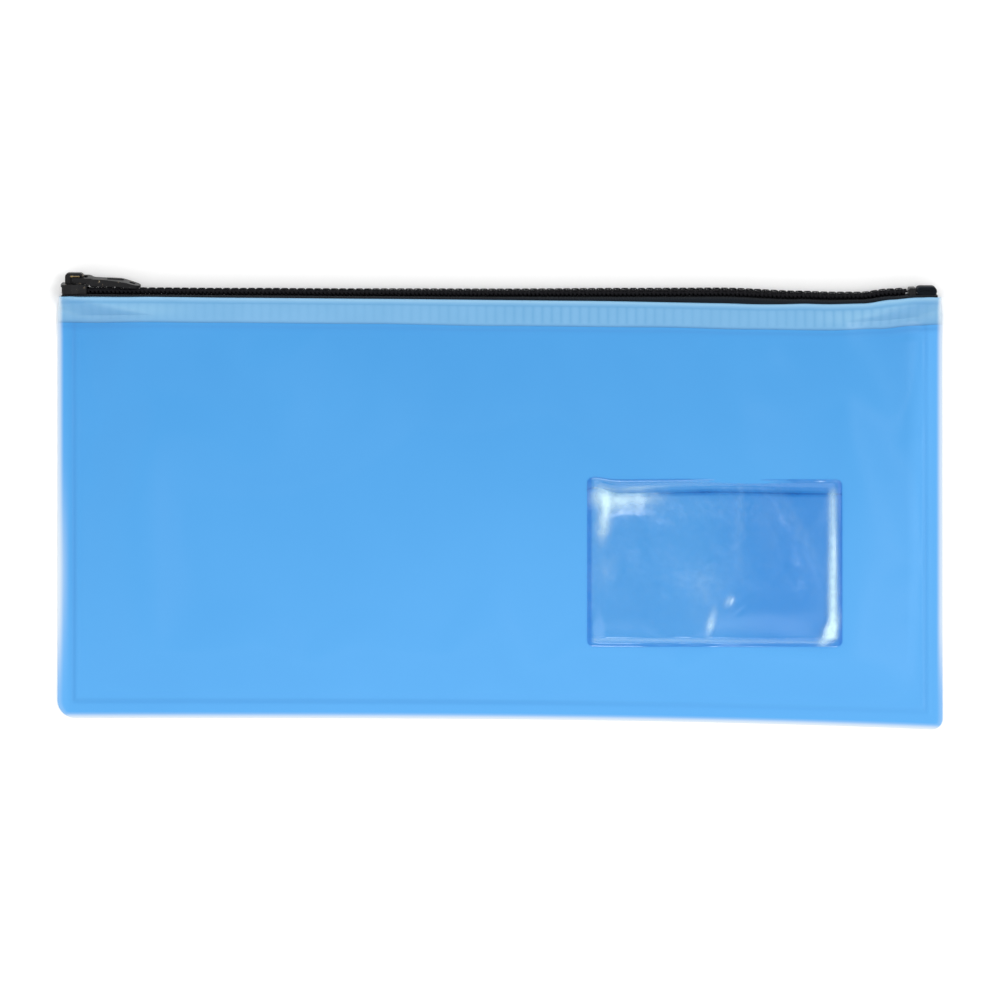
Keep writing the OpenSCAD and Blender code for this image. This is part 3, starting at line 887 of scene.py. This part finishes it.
def make_window():
    """The film in two stretches that lap at the slit, with round corners."""
    xs = np.arange(WINDOW_LEFT, WINDOW_RIGHT + 0.2 * mm, 0.5 * mm)
    xs = xs * (WINDOW_RIGHT - WINDOW_LEFT) / (xs[-1] - xs[0])
    xs = xs - xs[0] + WINDOW_LEFT
    low_rows = np.arange(WINDOW_LOW, SLIT_Y - 2.2 * mm, 0.6 * mm)
    below = np.concatenate([low_rows, np.linspace(SLIT_Y - 2 * mm, SLIT_Y + LAP, 9)])
    above = np.linspace(SLIT_Y - LAP, WINDOW_HIGH, 16)
    centre = (WINDOW_LEFT + WINDOW_RIGHT) / 2
    half = (WINDOW_RIGHT - WINDOW_LEFT) / 2
    r = FILM_CORNER
    parts = []
    marks = {"cut": [], "tint": [], "haze": []}
    for ys in (below, above):
        x, y = np.meshgrid(xs, ys)
        into_corner = np.clip(np.maximum(WINDOW_LOW + r - y, y - WINDOW_HIGH + r), 0, r)
        x = centre + (x - centre) * (half - r + np.sqrt(r * r - into_corner**2)) / half
        z = between(columns, rows, front_z, x, y) + film_relief(x, y, ys is above)
        shift = slit_shift(x) * bump(y, SLIT_Y, 6 * mm)
        parts.append(shell_parts(x, y + shift, z + FILM_T, z))
        # cut carries the painted shadow along the slit
        marks["cut"].append(both_faces(slit_shade(x, y)))
        marks["tint"].append(both_faces(edge_tint(x, y)))
        # haze carries wear and painted glare
        marks["haze"].append(both_faces(film_scuffs_and_glare(x, y)))
    obj = piece("window_pocket_film", *join(parts), clear_film)
    for name, values in marks.items():
        paint(obj, name, np.concatenate(values))
    declare(obj, "window_film", front=True)


# ---------- weld strips ----------

RIB_PITCH = 3.6 * mm


def ribs(x, share):
    """Short embossed dashes across a strip, fainter here and there."""
    dash = bump((x / RIB_PITCH) % 1.0, 0.5, 0.2)
    clear = bump(x, 30 * mm, 45 * mm) + bump(x, 130 * mm, 25 * mm)
    faint = 0.25 + 0.75 * np.clip(clear, 0, 1) * (0.8 + 0.2 * smooth_noise(x, 0 * x, 20 * mm, seed=41))
    return dash * faint * ease((share - 0.08) / 0.1) * ease((0.8 - share) / 0.1)


def strip_columns(step):
    end = np.linspace(0, 3 * mm, 9)[:-1]
    inner = np.linspace(-HALF_W + 3 * mm, HALF_W - 3 * mm, int((2 * HALF_W - 6 * mm) / step))
    return np.concatenate([-HALF_W + end, inner, (HALF_W - end)[::-1]])


def make_front_strip():
    """From under the wall's upper edge to the fold of the tape, with a rolled lip along the zip."""
    hidden = np.linspace(STRIP_LOW - WALL_TOP, 0, 4)[:-1]
    shown = np.linspace(0, PATTERN_FOLD - WALL_TOP, 32)
    x, y = np.meshgrid(strip_columns(0.4 * mm), np.concatenate([hidden, shown]))
    share = y / (PATTERN_FOLD - WALL_TOP)
    y = WALL_TOP + y - follow(x, BARE_FOLD) * np.clip(share, 0, 1)
    z = front_height(x, y) - sheet_t
    lip = bump(share, 0.93, 0.06)
    line = bump(share, 0.78, 0.05)
    dashes = ribs(x, share)
    z = z + (0.2 * lip - 0.14 * line - 0.12 * dashes) * mm
    z = z - 0.7 * mm * ease((share - 0.92) / 0.08) ** 2
    over_slider = bump(x, SLIDER_LEFT + 1.2 * mm, 2.2 * mm) * bump(share, 0.94, 0.05)
    z = z + 0.65 * mm * over_slider
    px, py = plan(x, y)
    obj = piece("front_weld_band", *shell_parts(px, py, z, z - strip_t), frosted)
    # painted light on the steep ends, against the shade their slope takes, and a painted highlight along the
    # lip
    steep = ease((np.abs(x) - 112 * mm) / (25 * mm)) * bump(share, 0.5, 0.28)
    paint(obj, "pale", both_faces(0.6 * lip + 0.38 * steep))
    # painted glare at the strip's ends
    paint(obj, "rim", both_faces(painted_edge_glare(x, y)))
    # painted shade in the dashes, the weld line and at the lower edge under the wall
    paint(obj, "weld_shade", both_faces(0.5 * dashes + 0.5 * line + 0.8 * bump(share, 0, 0.07)))
    declare(obj, "front_weld_strip", front=True)


def make_back_strip():
    """From under the back wall to the back tape, with the same ribs on its underside."""
    top = back_strip_high.y
    x, y = np.meshgrid(strip_columns(0.6 * mm), np.linspace(STRIP_LOW, top, 26))
    share = (y - WALL_TOP) / (top - WALL_TOP)
    low = sheet_t + 0.1 * mm * ribs(x, share)
    px = plan(x, y)[0]
    up = (y - STRIP_LOW) / (top - STRIP_LOW)
    py = y + follow(x, TOP_SHIFT) * (1 - up) + follow(x, CHAIN_SHIFT) * up
    obj = piece("back_weld_band", *shell_parts(px, py, back_strip_high.z, low), frosted)
    # painted highlight along the back strip's upper edge
    paint(obj, "pale", both_faces(0.4 * ease((share - 0.9) / 0.1)))
    # painted shade in the back strip's dashes
    paint(obj, "weld_shade", both_faces(0.4 * ribs(x, share)))
    declare(obj, "back_weld_strip")


# ---------- zip ----------

def fold_curve(start, corner, end, steps):
    """A smooth turn from start to end round a corner, without its two ends."""
    t = np.linspace(0, 1, steps + 2)[1:-1, None]
    return start * (1 - t) ** 2 + corner * 2 * t * (1 - t) + end * t * t


def tape_section(x, side):
    """The middle of one tape at a station: its web under the coil, its fold and its leg along the wall."""
    inner = 0.32 * mm + 1.25 * mm * (1 - ease((x - POST_END) / (1.2 * mm)))
    web = chain_point(x, side * np.array([inner, 1.6 * mm, 2.6 * mm, 3.6 * mm]), -tape_t / 2)[:, 1:]
    corner = chain_point(x, side * 4.85 * mm, -tape_t / 2)[1:]
    if side > 0:
        pattern_y = PATTERN_FOLD - np.linspace(0.5, 7.7, 16) * mm
        leg_y = plan(x + 0 * pattern_y, pattern_y)[1]
        steep = np.abs(np.gradient(front_height(x, pattern_y), pattern_y))
        leg_z = front_height(x, pattern_y) - sheet_t - strip_t - tape_t / 2 * np.hypot(1, steep) - 0.06 * mm
    else:
        leg_y = chain_at(x)[0] - np.linspace(0.4, 9, 16) * mm
        leg_z = np.full(16, back_strip_high.z + tape_t / 2 + 0.01 * mm)
    leg = np.stack([leg_y, leg_z], 1)
    return np.concatenate([web, fold_curve(web[-1], corner, leg[0], 6), leg])


def make_tape(name, side):
    """One woven tape, parted from the other round the slider's post."""
    stations = np.linspace(-tape_high.x, tape_high.x, 420)
    sections = []
    for x in stations:
        path = tape_section(x, side)
        along = np.gradient(path, axis=0)
        along /= np.linalg.norm(along, axis=1)[:, None]
        offset = np.stack([-along[:, 1], along[:, 0]], 1) * tape_t / 2
        ring = np.concatenate([path + offset, (path - offset)[::-1]])
        sections.append(np.column_stack([np.full(len(ring), x), ring]))
    obj = piece(f"{name}_zip_tape", *loft(np.array(sections)), tape_cloth, sharp=40)
    declare(obj, f"{name}_tape", front=side > 0)


def make_coil(name, side):
    """A spiral of monofilament, wound long and flat. Its heads pass between the other coil's."""
    pitch = 1.6 * mm
    wire = 0.375 * mm
    start = coil_low.x + 0.35 * mm + (pitch / 2 if side > 0 else 0)
    turns = int((coil_high.x - start - 0.5 * mm) / pitch)
    steps = 14
    t = np.arange(turns * steps + 1) / steps
    x = start + pitch * t
    c = np.cos(2 * math.pi * t)
    s = np.sin(2 * math.pi * t)
    outer = chain_half - wire
    inner = wire - 0.45 * mm
    v = (outer + inner) / 2 - (outer - inner) / 2 * np.sign(c) * np.abs(c) ** 0.7
    n = coil_h / 2 + (coil_h / 2 - wire) * np.sign(s) * np.abs(s) ** 0.8
    radius = wire * (1 + 0.12 * np.clip(c, 0, 1) ** 4)
    sides = 8
    verts, faces = tube(chain_point(x, side * v, n), radius, sides, reference=(1.0, 0, 0))
    flat = 1 + 0.4 * ease((v - 1.0 * mm) / (1.2 * mm))
    middle_x = np.repeat(x, sides)
    verts[:, 0] = middle_x + (verts[:, 0] - middle_x) * np.repeat(flat, sides)
    obj = piece(f"{name}_zip_coil", verts, faces, nylon, sharp=60)
    declare(obj, f"{name}_coil", front=side > 0)


def make_cord(name, side):
    """Two-ply filler cord inside a coil."""
    x = np.linspace(coil_low.x + 0.3 * mm, coil_high.x - 0.3 * mm, 900)
    plies = []
    for ply in (0, math.pi):
        turn = x / (1.9 * mm) * 2 * math.pi + ply
        v = 2.2 * mm + 0.2 * mm * np.cos(turn)
        n = coil_h / 2 + 0.45 * mm + 0.2 * mm * np.sin(turn)
        plies.append(tube(chain_point(x, side * v, n), radius=0.3 * mm, sides=8, reference=(0, 0, 1.0)))
    obj = piece(f"{name}_filler_cord", *join(plies), thread, sharp=60)
    declare(obj, f"{name}_core_cord", front=side > 0)


def make_stitches(name, side):
    """Lock stitches over a coil: each comes up between two turns, lies on the coil and goes down again."""
    pitch = 3.2 * mm
    count = int((coil_high.x - coil_low.x - 1.5 * mm) / pitch)
    s = np.linspace(0, 1, 13)
    n = coil_h + 0.06 * mm - 1.3 * mm * np.abs(2 * s - 1) ** 7
    parts = []
    for k in range(count):
        x = coil_low.x + 0.5 * mm + k * pitch + s * (pitch + 0.1 * mm)
        v = 2.05 * mm + 0.05 * mm * rng.uniform(-1, 1) + 0.12 * mm * (s - 0.5)
        parts.append(tube(chain_point(x, side * v, n), radius=0.22 * mm, sides=6, reference=(0, 0, 1.0)))
    obj = piece(f"{name}_lock_stitches", *join(parts), thread, sharp=60)
    declare(obj, f"{name}_stitching", front=side > 0)


def rounded_block(x_low, x_high, v_mid, v_half, height, radius, foot_n=0.02 * mm):
    """Vertices and faces of a small round-edged block on the chain, or on something over it."""
    t = np.linspace(0, math.pi / 2, 5)
    inset = radius * (1 - np.sin(t))
    near = x_low + radius * (1 - np.cos(t))
    x = np.concatenate([near, (x_low + x_high - near)[::-1]])
    shrink = np.concatenate([inset, inset[::-1]])
    turn = np.linspace(0, math.pi / 2, 6)
    sections = []
    for at_x, less in zip(x, shrink):
        w = v_half - less
        h = height - less
        right = np.stack([v_mid + w - radius + radius * np.cos(turn), h - radius + radius * np.sin(turn)], 1)
        left = np.stack([2 * v_mid - right[::-1, 0], right[::-1, 1]], 1)
        foot = np.array([[v_mid - w, foot_n], [v_mid + w, foot_n]])
        ring = np.concatenate([right, left, foot])
        sections.append(chain_point(np.full(len(ring), at_x), ring[:, 0], ring[:, 1]))
    return loft(np.array(sections))


def make_stops():
    """Two small clips where the closed slider stops, and a broad one at the open end."""
    parts = rounded_block(
        stop_low.x, stop_high.x, v_mid=0,
        v_half=chain_half + 0.3 * mm, height=coil_h + 0.45 * mm, radius=0.7 * mm,
    )
    declare(piece("end_stop_clip", *parts, stop_lacquer, sharp=50), "bottom_stop")
    for name, side in HALVES:
        v_mid = side * (chain_half - 0.7 * mm)
        parts = rounded_block(
            clip_low.x, clip_high.x, v_mid, v_half=0.65 * mm, height=2.2 * mm, radius=0.45 * mm,
        )
        obj = piece(f"{name}_end_clip", *parts, stop_lacquer, sharp=50)
        declare(obj, f"{name}_top_stop")


def make_tape_tail():
    """The tapes' tail past the end stop, rolled up tight on itself."""
    layer = 0.46 * mm
    near = stop_high.x + 1.6 * mm
    far = tape_high.x - 1.9 * mm
    centre = 1.55 * mm
    outermost = 1.65 * mm
    half_turns = 7
    steps = 9
    half_turn = np.linspace(-math.pi / 2, math.pi / 2, steps)
    turn = np.concatenate([half_turn + math.pi * k for k in range(half_turns)])
    radius = outermost - layer * (turn + math.pi / 2) / (2 * math.pi)
    x = np.concatenate([[near if k % 2 else far] * steps for k in range(half_turns)])
    x = np.concatenate([[stop_high.x - 1.5 * mm], x + radius * np.cos(turn)])
    n = np.concatenate([[centre - radius[0]], centre + radius * np.sin(turn)])
    step_x = np.gradient(x)
    step_n = np.gradient(n)
    size = np.hypot(step_x, step_n)
    across = np.array([-3.15, -3.0, -1.5, 0, 1.5, 3.0, 3.15]) * mm
    thick = np.array([0.1, 0.19, 0.22, 0.22, 0.22, 0.19, 0.1]) * mm
    v = np.concatenate([across, across[::-1]])
    lift = np.concatenate([thick, -thick[::-1]])
    sections = []
    for k in range(len(x)):
        sx = x[k] - step_n[k] / size[k] * lift
        sn = n[k] + step_x[k] / size[k] * lift
        sections.append(chain_point(sx, v, sn))
    obj = piece("rolled_tape_tail", *loft(np.array(sections)), tape_cloth, sharp=60)
    declare(obj)


def make_crown_core():
    """The cast web inside the crown, between its front leg and the tab's bar."""
    plate_top = coil_h + 0.8 * mm
    parts = rounded_block(
        SLIDER_X - 2.1 * mm, SLIDER_X + 0.5 * mm, v_mid=0, v_half=1.1 * mm,
        height=6.4 * mm, radius=0.3 * mm, foot_n=plate_top,
    )
    obj = piece("crown_core", *parts, lacquer, sharp=40)
    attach(obj, "slider")


def break_edges(obj, radius):
    bevel = obj.modifiers.new("broken_edges", "BEVEL")
    bevel.width = radius
    bevel.segments = 3
    bevel.limit_method = "ANGLE"
    bevel.angle_limit = math.radians(35)
    bevel.harden_normals = True


def tab_sag(reach):
    """How far the tab is bent down at a reach past the slider's middle, in millimetres."""
    bend = 1.15 * max(0.0, (reach - 6) / 19) ** 1.6
    return bend + 0.35 * ease((reach - 5) / 3) + 0.95 * ease((reach - 17) / 9)


def tab_belly(reach):
    """How much deeper its underside is at such a reach, in millimetres."""
    depth = 0.6 * (1 - ease((reach - 10) / 7)) + 0.4 * (1 - ease((reach - 20) / 5))
    return depth * ease((reach - 5.3) / 1.2)


def make_tab():
    """The cast tab: deeper beneath, and bent down to a thinner tip on the chain."""
    mesh = frame["nodes"]["pull_tab"].data.copy()
    cut = bmesh.new()
    cut.from_mesh(mesh)
    for reach in np.arange(5.4, 25.5, 0.8) * mm:
        everything = cut.verts[:] + cut.edges[:] + cut.faces[:]
        bmesh.ops.bisect_plane(cut, geom=everything, plane_co=(SLIDER_X + reach, 0, 0), plane_no=(1, 0, 0))
    for vert in cut.verts:
        reach = (vert.co.x - SLIDER_X) / mm
        level = (vert.co - TAB_AT).dot(OUT)
        thin = 0.4 * level * ease((reach - 17) / 8)
        belly = tab_belly(reach) * mm * (level < 0)
        vert.co -= OUT * float(tab_sag(reach) * mm + thin + belly)
    cut.to_mesh(mesh)
    cut.free()
    mesh.materials.clear()
    mesh.materials.append(lacquer)
    mesh.polygons.foreach_set("use_smooth", [True] * len(mesh.polygons))
    mesh.set_sharp_from_angle(angle=math.radians(35))
    obj = bpy.data.objects.new("drooping_pull_tab", mesh)
    bpy.context.scene.collection.objects.link(obj)
    break_edges(obj, 0.22 * mm)
    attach(obj, "tab")
    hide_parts("pull_tab")


def dress(node, material, radius):
    """A CAD part keeps its shape, with its edges broken and its own finish."""
    obj = frame["nodes"][node]
    obj.data.materials.clear()
    obj.data.materials.append(material)
    obj.data.polygons.foreach_set("use_smooth", [True] * len(obj.data.polygons))
    obj.data.set_sharp_from_angle(angle=math.radians(35))
    break_edges(obj, radius)


# ---------- camera, light and floor ----------

# width of the picture, its middle, and the height where that width holds
VIEW_W = 0.385
VIEW_Y = -2.2 * mm
VIEW_Z = 8 * mm


def make_camera():
    """Straight above the bag, as far off as its lens needs."""
    data = bpy.data.cameras.new("camera")
    data.lens = 150
    data.sensor_width = 36
    camera = bpy.data.objects.new("camera", data)
    camera.location = (0, VIEW_Y, VIEW_W * data.lens / data.sensor_width + VIEW_Z)
    bpy.context.scene.collection.objects.link(camera)
    bpy.context.scene.camera = camera


def turned_from(obj, direction):
    """Points a light's beam away from the direction it stands in."""
    obj.rotation_euler = Vector(direction).to_track_quat("Z", "Y").to_euler()
    bpy.context.scene.collection.objects.link(obj)


def add_sun(name, azimuth, height, strength, size):
    """A distant light, with its place and its size in degrees."""
    data = bpy.data.lights.new(name, "SUN")
    data.energy = strength
    data.angle = math.radians(size)
    a = math.radians(azimuth)
    h = math.radians(height)
    direction = (math.cos(h) * math.cos(a), math.cos(h) * math.sin(a), math.sin(h))
    turned_from(bpy.data.objects.new(name, data), direction)


def add_softbox(name, spot, side, power):
    """A square light that shines from a spot to the origin."""
    data = bpy.data.lights.new(name, "AREA")
    data.size = side
    data.energy = power
    obj = bpy.data.objects.new(name, data)
    obj.location = spot
    turned_from(obj, spot)


def make_sky():
    """A white tent, dark straight above, where the camera looks in."""
    world = bpy.data.worlds.new("studio")
    world.use_nodes = True
    tree = world.node_tree
    sky = tree.nodes["Background"]
    where = tree.nodes.new("ShaderNodeTexCoord")
    split = tree.nodes.new("ShaderNodeSeparateXYZ")
    tree.links.new(where.outputs["Generated"], split.inputs[0])
    level = tree.nodes.new("ShaderNodeMapRange")
    level.interpolation_type = "SMOOTHSTEP"
    tree.links.new(split.outputs["Z"], level.inputs["Value"])
    outer = math.cos(math.radians(28))
    inner = math.cos(math.radians(12))
    for key, value in {"From Min": outer, "From Max": inner, "To Min": 1.1, "To Max": 0.12}.items():
        level.inputs[key].default_value = value
    tree.links.new(level.outputs[0], sky.inputs["Strength"])
    sky.inputs["Color"].default_value = (1.0, 1.0, 1.0, 1.0)
    bpy.context.scene.world = world


def make_studio():
    """Sky, two soft lights, a low box that the film mirrors, and plain paper."""
    make_sky()
    add_sun("right_light", azimuth=0, height=60, strength=0.6, size=20)
    add_sun("left_light", azimuth=170, height=45, strength=0.35, size=100)
    add_softbox("low_box", spot=(-0.06, -0.5, 2.4), side=0.36, power=3.4)
    reach = 3.0
    corners = [(-reach, -reach, 0), (reach, -reach, 0), (reach, reach, 0), (-reach, reach, 0)]
    floor = piece("studio_floor", corners, [(0, 1, 2, 3)], paper_material())
    floor.location.z = -0.05 * mm
    bpy.context.scene.view_settings.view_transform = "Standard"


make_camera()
make_studio()
make_back_wall()
make_front_wall()
make_window()
make_front_strip()
make_back_strip()
for half, chain_side in HALVES:
    make_tape(half, chain_side)
    make_coil(half, chain_side)
    make_cord(half, chain_side)
    make_stitches(half, chain_side)
make_stops()
make_tape_tail()
dress("slider_body", lacquer, 0.15 * mm)
dress("slider_crown", lacquer, 0.2 * mm)
make_tab()
make_crown_core()
dress("lock_spring", brass, 0.05 * mm)
